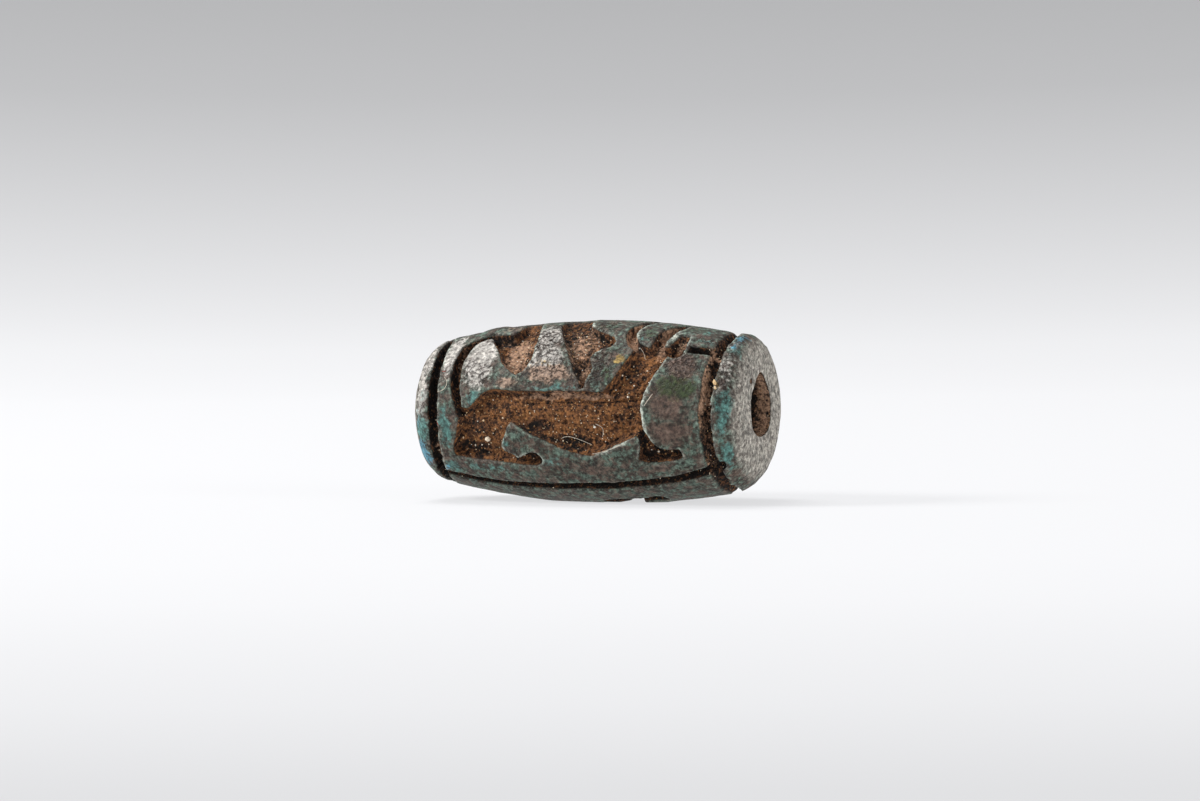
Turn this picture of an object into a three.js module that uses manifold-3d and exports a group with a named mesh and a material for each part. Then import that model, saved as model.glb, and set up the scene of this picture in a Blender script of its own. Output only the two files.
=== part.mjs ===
// Cylinder seal: a barrel-shaped bead of glazed steatite, bored lengthwise for a string and carved
// all round with sunk figures between two ring grooves. Lengths are in millimetres.
// The bead lies on its belly: its axis runs along X and the flat that it rests on is at z = 0.
// It is drawn with x from a mark a little right of its middle, and moved to its middle at the end.
import * as THREE from 'three';
import { mergeVertices } from 'three/addons/utils/BufferGeometryUtils.js';
import { TessellateModifier } from 'three/addons/modifiers/TessellateModifier.js';
import Module from 'manifold-3d';

const wasm = await Module();
wasm.setup();

// Driving dimensions
const leftEnd = -9.6;                // x of the two end faces
const rightEnd = 9.3;
const bellyRadius = 4.93;            // greatest radius of the barrel
const bellyAt = 0.65;                // x of that greatest radius
const barrelFall = 0.0125;           // the skin falls by this times the square of the distance
const leftRimLength = 1.1;           // length of the rounded edge at each end, along the axis
const rightRimLength = 1.2;
const restDepth = 0.12;              // how deep the flat on the underside is worn
const boreRadius = 1.55;
const boreRise = 0.29;               // the bore leaves the right end this far above the axis
const stringWear = 0.25;             // how far string has worn each mouth up and down
const notchLength = 4;               // how far into the bore those notches run out
const notchWidth = 0.45;             // their width, as a share of their height
const walkerDepth = 0.62;            // depth of each carving below the skin
const signDepth = 0.55;
const backDepth = 0.45;
const grooveDepth = 0.6;
const overshoot = 0.7;               // how far a cutter stands out of what it cuts

// Fineness
const barrelSides = 60;
const barrelRows = 12;
const rimSteps = 4;
const boreSides = 28;
const curveSteps = 2;                // straight pieces between two points of a curved outline
const longestEdge = 1.5;             // longest edge of a cutter before it is bent
const splits = 8;                    // most times that such an edge is halved
const sameVertex = 1e-4;             // vertices closer than this are one

const beadLength = rightEnd - leftEnd;
const middle = (leftEnd + rightEnd) / 2;
const axisHeight = bellyRadius - restDepth;

function point(x, y) {
  return new THREE.Vector2(x, y);
}

// Skin radius of the barrel at x, before its ends are rounded
function skinRadius(x) {
  return bellyRadius - barrelFall * (x - bellyAt) ** 2;
}

// Rounded edge at one end: an arc that leaves the skin smoothly and meets the end face
function rimArc(end, rimLength) {
  const side = Math.sign(end);
  const start = end - side * rimLength;
  const lean = Math.atan(side * 2 * barrelFall * (start - bellyAt));
  const arcRadius = rimLength / (1 - Math.sin(lean));
  const centreX = start - side * arcRadius * Math.sin(lean);
  const centreR = skinRadius(start) - arcRadius * Math.cos(lean);
  const points = [];
  for (let i = 0; i <= rimSteps; i++) {
    const turn = lean + (Math.PI / 2 - lean) * i / rimSteps;
    const radius = centreR + arcRadius * Math.cos(turn);
    points.push(point(radius, centreX + side * arcRadius * Math.sin(turn)));
  }
  return points;
}

// A closed three.js geometry as a manifold-3d solid
function solid(geometry) {
  const bare = geometry.index ? geometry.toNonIndexed() : geometry.clone();
  bare.deleteAttribute('normal');
  bare.deleteAttribute('uv');
  const merged = mergeVertices(bare, sameVertex);
  return new wasm.Manifold(new wasm.Mesh({
    numProp: 3,
    vertProperties: merged.attributes.position.array,
    triVerts: new Uint32Array(merged.index.array),
  }));
}

// A profile of radius and x, turned about the X axis
function turned(profile, sides) {
  return new THREE.LatheGeometry(profile, sides).rotateZ(-Math.PI / 2);
}

function barrel() {
  const left = rimArc(leftEnd, leftRimLength).reverse();
  const right = rimArc(rightEnd, rightRimLength);
  const from = left.at(-1).y;
  const step = (right[0].y - from) / barrelRows;
  const skin = [];
  for (let i = 1; i < barrelRows; i++) {
    const x = from + step * i;
    skin.push(point(skinRadius(x), x));
  }
  const profile = [point(0, leftEnd), ...left, ...skin, ...right, point(0, rightEnd)];
  return solid(turned(profile, barrelSides));
}

// Carvings are drawn on the unrolled skin: u runs along the axis and s round the belly, upwards
// from the front. bend() rolls them onto the barrel, a turn further round for the back. A carving
// that fades runs out between two heights of s.
function bend(geometry, depth, turn, fade) {
  const place = geometry.attributes.position;
  for (let i = 0; i < place.count; i++) {
    const u = place.getX(i);
    const s = place.getY(i);
    const angle = s / bellyRadius + turn;
    const floor = fade ? depth * (1 - THREE.MathUtils.smoothstep(s, ...fade)) : depth;
    const radius = skinRadius(u) + (place.getZ(i) > 0.5 ? overshoot : -floor);
    place.setXYZ(i, u, -radius * Math.cos(angle), radius * Math.sin(angle));
  }
  return geometry;
}

function cutter(shape, depth, { turn = 0, fade } = {}) {
  const settings = { depth: 1, bevelEnabled: false, curveSegments: curveSteps };
  const slab = new THREE.ExtrudeGeometry(shape, settings);
  const fine = new TessellateModifier(longestEdge, splits).modify(slab);
  return solid(bend(fine, depth, turn, fade));
}

// An outline on the unrolled skin. Each run goes on from the last point: a run of one point is
// a straight edge, a longer one is a smooth curve.
function outline(start, ...runs) {
  const shape = new THREE.Shape().moveTo(...start);
  for (const run of runs) {
    if (run.length === 1) shape.lineTo(...run[0]);
    else shape.splineThru(run.map((p) => point(...p)));
  }
  return shape;
}

// A graver's stroke along a curve, with its width at the start, half way and the end
function stroke(points, [first, halfWay, last]) {
  const curve = new THREE.SplineCurve(points.map((p) => point(...p)));
  const steps = 2 * (points.length - 1);
  const near = [];
  const far = [];
  for (let i = 0; i <= steps; i++) {
    const t = i / steps;
    const width = t < 0.5
      ? THREE.MathUtils.lerp(first, halfWay, 2 * t)
      : THREE.MathUtils.lerp(halfWay, last, 2 * t - 1);
    const along = curve.getTangent(t);
    const across = point(-along.y, along.x).multiplyScalar(width / 2);
    near.push(curve.getPoint(t).add(across));
    far.unshift(curve.getPoint(t).sub(across));
  }
  return new THREE.Shape([...near, ...far]);
}

// Ring groove from one x to another. Its walls lean in by the given lengths, and it wanders.
function ringGroove(from, to, leftLean, rightLean, wander) {
  const floor = skinRadius((from + to) / 2) - grooveDepth;
  const reach = 1 + overshoot / grooveDepth;
  const left = point(floor, from + leftLean);
  const right = point(floor, to - rightLean);
  const section = [
    left,
    point(floor + grooveDepth * reach, left.y - leftLean * reach),
    point(floor + grooveDepth * reach, right.y + rightLean * reach),
    right,
    left,
  ];
  const ring = turned(section, barrelSides);
  const place = ring.attributes.position;
  for (let i = 0; i < place.count; i++) {
    const round = Math.atan2(place.getZ(i), -place.getY(i));
    place.setX(i, place.getX(i) + wander * Math.sin(round) ** 2);
  }
  return solid(ring);
}

// Bore for the string, a little askew
function bore() {
  const length = beadLength + 2 * overshoot;
  const tube = new THREE.CylinderGeometry(boreRadius, boreRadius, length, boreSides);
  tube.rotateZ(-Math.PI / 2).rotateY(-Math.atan(boreRise / beadLength));
  return solid(tube.translate(middle, 0, boreRise / 2));
}

// Pointed notches that the string has worn above and below one mouth of the bore
function wornMouth(end, height) {
  const side = Math.sign(end);
  const notch = new THREE.ConeGeometry(boreRadius + stringWear, notchLength, 4);
  notch.scale(1, 1, notchWidth).rotateZ(side * Math.PI / 2).rotateX(Math.PI / 2);
  return solid(notch.translate(end - side * (notchLength - overshoot) / 2, 0, height));
}

// The flat on the underside that keeps the bead from rolling
function restCut() {
  const block = new THREE.BoxGeometry(beadLength, 2 * bellyRadius, bellyRadius);
  return solid(block.translate(0, 0, -axisHeight - bellyRadius / 2));
}

// Front: a long-eared animal walking to the right, its tail curled over its back
const walker = outline([-6.15, 0.5],
  [[-6.5, -0.4], [-6.75, -1.5], [-7.05, -2.4], [-6.95, -2.8]],
  [[-6, -2.88], [-4, -2.92], [-2.2, -3.02]],
  [[-1.7, -2.85], [-1.6, -2.5], [-1.85, -2.12]],
  [[-2.3, -2.15], [-2.7, -2.35], [-3, -2.5]],
  [[-3.3, -2.28], [-3.75, -2.1], [-3.88, -1.8]],
  [[-3.7, -1.3], [-3.4, -0.7], [-3.15, -0.42]],
  [[-2.2, -0.98], [-1.1, -1.5], [0.1, -2.05], [1.2, -2.3]],
  [[2.4, -1.8], [3.3, -1.4], [3.95, -1.08]],
  [[4.08, -1.4], [4.02, -2], [3.85, -2.55]],
  [[4.5, -2.75], [6.1, -2.7]],
  [[6.35, -2.4], [6.2, -1.95]],
  [[5.4, -1.9], [4.85, -1.5], [4.4, -0.8]],
  [[4.27, 0.2], [4.35, 1.1], [4.7, 2.1], [5.05, 3], [5.42, 3.9]],
  [[5.35, 4.4]],
  [[3.4, 4.2]],
  [[3.1, 3.3], [2.75, 2.4], [2.1, 1.36]],
  [[-2.95, 1.4]],
  [[-4.5, 1.5], [-5.2, 1.05], [-5.85, 0.42]],
);
const walkerTail = stroke(
  [[-6.3, 0], [-6.65, 1.3], [-6.82, 2.6], [-6.78, 4], [-6.5, 5.1], [-5.7, 5.75], [-4.6, 5.6],
    [-3.4, 5.35]],
  [0.5, 0.74, 0.55],
);
const leftEar = stroke(
  [[4.2, 3.9], [3.3, 4.4], [2.85, 5.2], [2.82, 6], [3.2, 7], [3.8, 8.1]],
  [0.6, 0.66, 0.5],
);
const rightEar = stroke([[4.6, 4.1], [4.6, 5], [4.75, 5.9], [5.1, 6.9], [5.5, 8]], [0.8, 0.85, 0.5]);
const brow = stroke([[5.6, 4], [5.68, 4.7], [5.75, 5.5]], [0.9, 0.88, 0.7]);

// Above it: two sunk signs, left and right of the raised field on its back, and a short slot
const leftSign = outline([-3.15, 2.3],
  [[-2.65, 2.6], [-2.4, 3.3], [-2.37, 4], [-2.5, 5.4], [-2.75, 6.4], [-3, 7.8]],
  [[-3.5, 8.2], [-4.1, 7.8]],
  [[-4, 6.6], [-4.2, 5.7]],
  [[-5.35, 5.45]],
  [[-5, 4.75], [-4.55, 4.1], [-4.1, 3.1], [-3.6, 2.6], [-3.15, 2.3]],
);
const rightSign = outline([0.78, 1.5],
  [[0.6, 1.95], [0.05, 2.85], [-0.35, 3.7], [-0.85, 4.7], [-1.3, 5.6], [-1.6, 6.5], [-1.9, 8]],
  [[-1, 8.6], [0, 8]],
  [[0.1, 6.7], [0.35, 6.15], [1.1, 5.55], [2, 5]],
  [[2.2, 4.55], [2.05, 4.1]],
  [[1.6, 3.88], [1.15, 3.6], [1.05, 3.3]],
  [[1.3, 2.6], [1.08, 2], [1.02, 1.5]],
);
const slot = outline([6.2, 4.1], [[8, 4.15]], [[8, 4.78]], [[6.3, 4.75]]);

// Underside: a stemmed sign with a wide head
const stemmedSign = outline([1.1, -6],
  [[2, -5.85], [2.9, -5.98], [3.5, -5.92], [4.05, -5.74], [4.5, -6.15], [4.4, -6.85]],
  [[2.95, -6.85]],
  [[2.95, -9], [2.2, -9.4], [1.45, -9]],
  [[1.5, -6.95]],
  [[0.7, -6.9], [0.75, -6.4], [1.1, -6]],
);

// Back: a plainer animal walking the other way, with an ear, a horn, a tail, a disc and a leaf
const grazer = outline([5.5, 0.7],
  [[5.95, -0.6], [6.2, -2], [6.05, -2.8]],
  [[4.3, -2.8]],
  [[4.2, -1.9], [3.4, -1], [2.6, -0.85]],
  [[0.5, -1.3], [-1.9, -0.85]],
  [[-2.25, -1.6], [-2.3, -2.7]],
  [[-3.9, -2.7]],
  [[-3.6, -1.4], [-3.7, 0.2], [-4.3, 1.6], [-5, 2.5]],
  [[-6.1, 2.4], [-6.55, 2.9], [-6.2, 3.5]],
  [[-5.2, 4.1], [-4.2, 3.9]],
  [[-3.2, 2.6], [-2.4, 1.5]],
  [[1.5, 1.3], [4.4, 1.5], [5.5, 0.7]],
);
const grazerParts = [
  stroke([[5.4, 0.4], [6.1, 1.6], [6.4, 3], [6.1, 4.3]], [0.5, 0.6, 0.5]),
  stroke([[-4.6, 3.6], [-4, 4.8], [-3.7, 6]], [0.6, 0.75, 0.4]),
  stroke([[-5.3, 3.8], [-5.4, 5], [-5, 6.3]], [0.55, 0.6, 0.35]),
];
const backDisc = new THREE.Shape().absarc(-0.9, 3.9, 0.9, 0, 2 * Math.PI);
const backLeaf = outline([2.2, 2.5], [[3.4, 3.2], [4, 4.6]], [[2.7, 4.1], [2.2, 2.5]]);

const frontGround = stroke(
  [[-8.3, -4.55], [-5, -4.74], [-1, -4.45], [3, -4.27], [5.5, -4.05], [7, -3.8], [8.1, -3.4]],
  [0.5, 0.48, 0.5],
);
const backGround = stroke([[-8.2, -4.3], [-3, -4.1], [3, -4.2], [8.2, -4.35]], [0.45, 0.42, 0.45]);

const onBack = { turn: Math.PI };
const cutters = [
  ringGroove(-8.4, -7.78, 0.14, 0.06, -0.2),
  ringGroove(7.33, 8.04, 0.34, 0.05, 0.28),
  cutter(frontGround, grooveDepth),
  cutter(backGround, grooveDepth, onBack),
  cutter(walker, walkerDepth),
  cutter(walkerTail, walkerDepth),
  cutter(leftEar, signDepth, { fade: [6.6, 8.6] }),
  cutter(rightEar, signDepth, { fade: [6.4, 8.6] }),
  cutter(brow, signDepth),
  cutter(leftSign, signDepth, { fade: [6.2, 8.2] }),
  cutter(rightSign, signDepth, { fade: [6.6, 8.4] }),
  cutter(slot, grooveDepth),
  cutter(stemmedSign, signDepth),
  ...[grazer, ...grazerParts, backDisc, backLeaf].map((part) => cutter(part, backDepth, onBack)),
  bore(),
  wornMouth(leftEnd, 0),
  wornMouth(rightEnd, boreRise),
  restCut(),
];
const carved = cutters.reduce((stone, tool) => stone.subtract(tool), barrel());

// The carved solid as a three.js geometry, raised to lie on z = 0
function geometryOf(manifold) {
  const { vertProperties, triVerts } = manifold.getMesh();
  const geometry = new THREE.BufferGeometry();
  geometry.setAttribute('position', new THREE.BufferAttribute(vertProperties, 3));
  geometry.setIndex(new THREE.BufferAttribute(triVerts, 1));
  geometry.computeVertexNormals();
  return geometry;
}

const glazedSteatite = new THREE.MeshStandardMaterial({
  color: 0x5c7670,
  roughness: 0.62,
  metalness: 0,
});
const seal = new THREE.Mesh(geometryOf(carved), glazedSteatite);
seal.name = 'seal';
seal.position.set(-middle, 0, axisHeight);

const part = new THREE.Group();
part.add(seal);

export default part;
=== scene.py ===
from itertools import product
from math import atan, atan2, cos, pi, radians, sin

import bmesh
import bpy
import numpy as np
from mathutils import Matrix, Vector
from mathutils.bvhtree import BVHTree


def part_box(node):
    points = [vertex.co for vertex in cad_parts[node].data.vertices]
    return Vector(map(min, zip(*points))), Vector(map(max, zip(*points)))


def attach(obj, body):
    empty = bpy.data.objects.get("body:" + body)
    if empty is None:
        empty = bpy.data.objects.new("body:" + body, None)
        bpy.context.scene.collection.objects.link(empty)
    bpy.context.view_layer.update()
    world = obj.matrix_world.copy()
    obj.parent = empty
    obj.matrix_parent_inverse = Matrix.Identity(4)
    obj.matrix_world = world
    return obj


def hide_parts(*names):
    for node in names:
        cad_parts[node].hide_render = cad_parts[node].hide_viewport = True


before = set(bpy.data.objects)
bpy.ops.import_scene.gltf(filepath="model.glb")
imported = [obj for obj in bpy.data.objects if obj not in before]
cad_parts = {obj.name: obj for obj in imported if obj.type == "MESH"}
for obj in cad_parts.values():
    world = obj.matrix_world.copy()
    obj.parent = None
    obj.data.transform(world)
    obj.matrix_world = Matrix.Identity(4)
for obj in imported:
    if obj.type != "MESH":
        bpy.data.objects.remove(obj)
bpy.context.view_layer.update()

# Cylinder seal: a barrel bead of glazed stone with sunk figures, soil in the carving and a few loose
# grains and fibres on it. Lengths in the dictionaries are millimetres; the frame gives the place.

low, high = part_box("seal")

seal = dict(
    leftEnd=-9.6,           # x of the two end faces, from a mark on the belly
    rightEnd=9.3,
    bellyRadius=4.93,       # greatest radius
    bellyAt=0.65,           # x of the greatest radius
    barrelFall=0.0125,      # the skin falls by this times the square of the distance from there
    leftRim=1.1,            # length of the rounded edge at each end
    rightRim=1.2,
    endLift=0.2,            # how far the right end stands above the axis
    boreRadius=1.55,
    boreRise=0.4,           # the bore leaves the right end this far above the axis
    mouthWear=0.24,         # how far string has worn the mouths to a point above and below
    mouthCorners=0.17,      # how far they are worn to corners below, and filled above
    walkerDepth=0.64,
    signDepth=0.56,
    grooveDepth=0.6,
    backDepth=0.42,
    wallWidth=0.22,         # width of the walls of the carving, seen from above
    grooveWall=0.15,
    edgeWobble=0.045,       # how far a cut edge strays from its line
    unevenness=0.024,       # dents of the skin
    soilLumps=0.1,          # lumps of the soil in the carving
    rowStep=0.17,           # fineness of the turned bead
    sides=160,
    halvings=2,             # how often its faces are then split
    triangles=190000,       # after thinning
)
girth, leftEnd, rightEnd = seal["bellyRadius"], seal["leftEnd"], seal["rightEnd"]
length, middle = rightEnd - leftEnd, (leftEnd + rightEnd) / 2
millimetre = (high.x - low.x) / length
# The mark that the drawing starts from, on the axis
mark = Vector(((low.x + high.x) / 2 - middle * millimetre, 0, high.z - girth * millimetre))


# Smooth noise from -1 to 1 at the given places, with features of one size
def ripple(places, size, seed):
    cells = 32
    table = np.random.default_rng(seed).uniform(-1, 1, (cells, cells, cells))
    cell = np.floor(places / size).astype(int)
    part = places / size - cell
    part = part * part * (3 - 2 * part)
    total = np.zeros(len(places))
    for corner in product((0, 1), repeat=3):
        weight = np.where(corner, part, 1 - part).prod(axis=1)
        total += weight * table[tuple(((cell + corner) % cells).T)]
    return total


def ease(value, start, end):
    t = np.clip((value - start) / (end - start), 0, 1)
    return t * t * (3 - 2 * t)


# Skin radius at x, before the ends are rounded
def skinRadius(x):
    return girth - seal["barrelFall"] * (x - seal["bellyAt"]) ** 2


# The carvings are drawn on the unrolled skin: u along the axis, s round the belly, up from the front.
# A curve through points, in short straight pieces
def curveThrough(points, steps=6):
    points = np.array(points, float)
    padded = np.vstack([points[:1], points, points[-1:]])
    share = (np.arange(steps) / steps)[:, None]
    pieces = []
    for before, start, end, after in zip(padded, padded[1:], padded[2:], padded[3:]):
        leave, arrive = (end - before) / 2, (after - start) / 2
        pieces.append(
            (2 * start - 2 * end + leave + arrive) * share**3
            + (3 * end - 3 * start - 2 * leave - arrive) * share**2
            + leave * share + start
        )
    return np.vstack([*pieces, points[-1:]])


# A closed outline: a run of one point is a straight edge, a longer one a smooth curve
def outline(start, *runs):
    points = np.array([start], float)
    for run in runs:
        if len(run) > 1:
            points = np.vstack([points[:-1], curveThrough([points[-1], *run])])
        else:
            points = np.vstack([points, run])
    return points


# A stroke along a curve: its centre line and its half width at the start, the middle and the end
def stroke(points, widths):
    line = curveThrough(points)
    share = np.linspace(0, 1, len(line))
    return line, np.interp(share, [0, 0.5, 1], widths) / 2


# Distance from places to a line of points, with the half width taken off
def gapToLine(places, line, halfWidth):
    best = np.full(len(places), 9.0)
    for a, b, wa, wb in zip(line, line[1:], halfWidth, halfWidth[1:]):
        along = b - a
        t = np.clip((places - a) @ along / max(along @ along, 1e-9), 0, 1)
        reach = np.hypot(*(places - a - t[:, None] * along).T)
        best = np.minimum(best, reach - wa - t * (wb - wa))
    return best


# The same to a closed outline, negative inside it
def gapToOutline(places, points):
    closed = np.vstack([points, points[:1]])
    best = gapToLine(places, closed, np.zeros(len(closed)))
    inside = np.zeros(len(places), bool)
    for a, b in zip(closed, closed[1:]):
        if a[1] == b[1]:
            continue
        crosses = (a[1] > places[:, 1]) != (b[1] > places[:, 1])
        inside ^= crosses & (places[:, 0] < a[0] + (places[:, 1] - a[1]) * (b[0] - a[0]) / (b[1] - a[1]))
    return np.where(inside, -best, best)


walker = outline((-6.15, 0.5),
    [(-6.5, -0.4), (-6.75, -1.5), (-7.05, -2.4), (-6.95, -2.8)],
    [(-6, -2.88), (-4, -2.92), (-2.2, -3.02)],
    [(-1.7, -2.85), (-1.6, -2.5), (-1.85, -2.12)],
    [(-2.3, -2.15), (-2.7, -2.35), (-3, -2.5)],
    [(-3.3, -2.28), (-3.75, -2.1), (-3.88, -1.8)],
    [(-3.7, -1.3), (-3.4, -0.7), (-3.15, -0.42)],
    [(-2.2, -0.98), (-1.1, -1.5), (0.1, -2.05), (1.2, -2.3)],
    [(2.4, -1.8), (3.3, -1.4), (3.95, -1.08)],
    [(4.08, -1.4), (4.02, -2), (3.85, -2.55)],
    [(4.5, -2.75), (6.1, -2.7)],
    [(6.35, -2.4), (6.2, -1.95)],
    [(5.4, -1.9), (4.85, -1.5), (4.4, -0.8)],
    [(4.27, 0.2), (4.35, 1.1), (4.7, 2.1), (5.05, 3), (5.42, 3.9)],
    [(5.35, 4.4)], [(3.4, 4.2)],
    [(3.1, 3.3), (2.75, 2.4), (2.1, 1.36)],
    [(-2.95, 1.4)],
    [(-4.5, 1.5), (-5.2, 1.05), (-5.85, 0.42)],
)
leftSign = outline((-3.15, 2.3),
    [(-2.65, 2.6), (-2.4, 3.3), (-2.37, 4), (-2.5, 5.4), (-2.75, 6.4), (-3, 7.8)],
    [(-3.5, 8.2), (-4.1, 7.8)],
    [(-4, 6.6), (-4.2, 5.7)],
    [(-5.35, 5.45)],
    [(-5, 4.75), (-4.55, 4.1), (-4.1, 3.1), (-3.6, 2.6), (-3.15, 2.3)],
)
rightSign = outline((0.78, 1.5),
    [(0.6, 1.95), (0.05, 2.85), (-0.35, 3.7), (-0.85, 4.7), (-1.3, 5.6), (-1.6, 6.5), (-1.9, 8)],
    [(-1, 8.6), (0, 8)],
    [(0.1, 6.7), (0.35, 6.15), (1.1, 5.55), (2, 5)],
    [(2.2, 4.55), (2.05, 4.1)],
    [(1.6, 3.88), (1.15, 3.6), (1.05, 3.3)],
    [(1.3, 2.6), (1.08, 2), (1.02, 1.5)],
)
slot = outline((6.2, 4.1), [(8, 4.15)], [(8, 4.78)], [(6.3, 4.75)])
stemmedSign = outline((1.1, -6),
    [(2, -5.85), (2.9, -5.98), (3.5, -5.92), (4.05, -5.74), (4.5, -6.15), (4.4, -6.85)],
    [(2.95, -6.85)],
    [(2.95, -9), (2.2, -9.4), (1.45, -9)],
    [(1.5, -6.95)],
    [(0.7, -6.9), (0.75, -6.4), (1.1, -6)],
)
grazer = outline((5.5, 0.7),
    [(5.95, -0.6), (6.2, -2), (6.05, -2.8)],
    [(4.3, -2.8)],
    [(4.2, -1.9), (3.4, -1), (2.6, -0.85)],
    [(0.5, -1.3), (-1.9, -0.85)],
    [(-2.25, -1.6), (-2.3, -2.7)],
    [(-3.9, -2.7)],
    [(-3.6, -1.4), (-3.7, 0.2), (-4.3, 1.6), (-5, 2.5)],
    [(-6.1, 2.4), (-6.55, 2.9), (-6.2, 3.5)],
    [(-5.2, 4.1), (-4.2, 3.9)],
    [(-3.2, 2.6), (-2.4, 1.5)],
    [(1.5, 1.3), (4.4, 1.5), (5.5, 0.7)],
)
backDisc = np.array([(-0.9 + 0.9 * cos(t * pi / 8), 3.9 + 0.9 * sin(t * pi / 8)) for t in range(16)])
backLeaf = outline((2.2, 2.5), [(3.4, 3.2), (4, 4.6)], [(2.7, 4.1), (2.2, 2.5)])

# Each sunk shape: its outline or stroke, its depth, and its soil from 0, black, to 1, orange.
# What runs over the top gets shallow from the first s of fade to the second.
sunk = [
    dict(shape=walker, depth=seal["walkerDepth"], soil=0.95),
    dict(shape=leftSign, depth=seal["signDepth"], soil=0.7, fade=(6.2, 8.2)),
    dict(shape=rightSign, depth=seal["signDepth"], soil=0.5, fade=(6.6, 8.4)),
    dict(shape=slot, depth=seal["grooveDepth"], soil=0.05),
    dict(shape=stemmedSign, depth=seal["signDepth"], soil=0.2),
    dict(
        shape=stroke(
            [
                (-6.3, 0), (-6.65, 1.3), (-6.82, 2.6), (-6.78, 4),
                (-6.5, 5.1), (-5.7, 5.75), (-4.6, 5.6), (-3.4, 5.35),
            ],
            (0.5, 0.74, 0.55),
        ),
        depth=seal["walkerDepth"], soil=0.3,
    ),
    dict(
        shape=stroke(
            [(4.2, 3.9), (3.3, 4.4), (2.85, 5.2), (2.82, 6), (3.2, 7), (3.8, 8.1)],
            (0.6, 0.66, 0.5),
        ),
        depth=seal["signDepth"], soil=0.45, fade=(6.6, 8.6),
    ),
    dict(
        shape=stroke([(4.6, 4.1), (4.6, 5), (4.75, 5.9), (5.1, 6.9), (5.5, 8)], (0.8, 0.85, 0.5)),
        depth=seal["signDepth"], soil=0.55, fade=(6.4, 8.6),
    ),
    dict(
        shape=stroke([(5.6, 4), (5.68, 4.7), (5.75, 5.5)], (0.9, 0.88, 0.7)),
        depth=seal["signDepth"], soil=0.5, fade=(4.6, 6.2),
    ),
    dict(
        shape=stroke(
            [(-8.3, -4.6), (-5, -4.8), (-1, -4.52), (3, -4.34), (5.5, -4.12), (7, -3.85), (8.1, -3.45)],
            (0.6, 0.62, 0.66),
        ),
        depth=seal["grooveDepth"], soil=0.03,
    ),
    dict(
        shape=stroke([(-8.2, -4.3), (-3, -4.1), (3, -4.2), (8.2, -4.35)], (0.45, 0.42, 0.45)),
        depth=seal["grooveDepth"], soil=0.15, back=True,
    ),
    dict(shape=grazer, depth=seal["backDepth"], soil=0.85, back=True),
    dict(
        shape=stroke([(5.4, 0.4), (6.1, 1.6), (6.4, 3), (6.1, 4.3)], (0.5, 0.6, 0.5)),
        depth=seal["backDepth"], soil=0.4, back=True,
    ),
    dict(
        shape=stroke([(-4.6, 3.6), (-4, 4.8), (-3.7, 6)], (0.6, 0.75, 0.4)),
        depth=seal["backDepth"], soil=0.4, back=True,
    ),
    dict(
        shape=stroke([(-5.3, 3.8), (-5.4, 5), (-5, 6.3)], (0.55, 0.6, 0.35)),
        depth=seal["backDepth"], soil=0.4, back=True,
    ),
    dict(shape=backDisc, depth=seal["backDepth"], soil=0.6, back=True),
    dict(shape=backLeaf, depth=seal["backDepth"], soil=0.5, back=True),
]
# Ring grooves: from and to, how far each wall leans in, how far the ring strays over the top, soil
rings = [(-8.4, -7.78, 0.14, 0.06, -0.2, 0.02), (7.3, 8.04, 0.36, 0.05, 0.28, 0.3)]
# Pits in the front: u, s, reach and depth. Those of negative depth are crumbs of soil and low humps.
pits = [
    (-0.2, -0.4, 0.2, 0.16), (2.7, -0.05, 0.14, 0.12), (3.6, -0.75, 0.13, 0.12), (-4.4, -0.1, 0.12, 0.1),
    (-5.2, 0.2, 0.16, 0.1), (1.7, 0.25, 0.1, 0.08), (-2.6, 0.3, 0.1, 0.08), (0.9, -0.85, 0.12, 0.1),
    (-4.85, -1.6, 0.2, -0.16), (-6.4, -1.65, 0.12, -0.1), (-3.85, -0.2, 0.12, -0.1),
    (-5.05, -0.4, 0.13, -0.08),
    (8.2, 2, 0.22, -0.05), (0.05, 5.35, 0.3, -0.12), (-5.6, 6.9, 1.1, -0.12), (-7.6, 6.3, 0.9, -0.08),
]


walkerRelief = dict(
    rise=0.06,              # how much less deep the floor is away from the belly
    belly=0.14,             # how much deeper it is along the belly
    streaks=0.022,          # height of the graver's long lines
    ledge=0.09,             # depth of the line under its back
    slip=0.12,              # depth of the graver's slip at the belly
)


# Depth of the floor of the walking animal, more or less than that of its outline
def walkerFloor(u, s):
    places = np.column_stack([u, s])
    body = ease(u, -3.4, -2) * (1 - ease(u, 3.2, 4.2)) * (1 - ease(s, 1, 1.6))
    trough = walkerRelief["belly"] * np.exp(-((s + 1.15 - 0.1 * (u - 1) ** 2) / 0.75) ** 2) * body
    streaks = ripple(np.column_stack([u / 9, s, s * 0]), 0.17, 21)
    streaks = streaks + ripple(np.column_stack([u / 5, s, s * 0]), 0.1, 22)
    backLine = np.array([(-2.3, 0.7), (0, 0.77), (2, 0.8), (3.9, 0.98)])
    ledge = gapToLine(places, backLine, np.zeros(len(backLine)))
    bellyLine = np.array([(-0.3, -1.45), (0.4, -1.62), (1.1, -1.85)])
    slip = gapToLine(places, bellyLine, np.array([0.05, 0.14, 0.05]))
    floor = -walkerRelief["rise"] + trough + walkerRelief["streaks"] * streaks * body
    floor = floor + walkerRelief["ledge"] * np.exp(-(ledge / 0.06) ** 2)
    return floor + walkerRelief["slip"] * (1 - ease(slip, -0.05, 0.06))


# The places on a plain barrel, where noise runs on across the seam
def onBarrel(u, angle):
    return np.column_stack([u, -girth * np.cos(angle), girth * np.sin(angle)])


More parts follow.
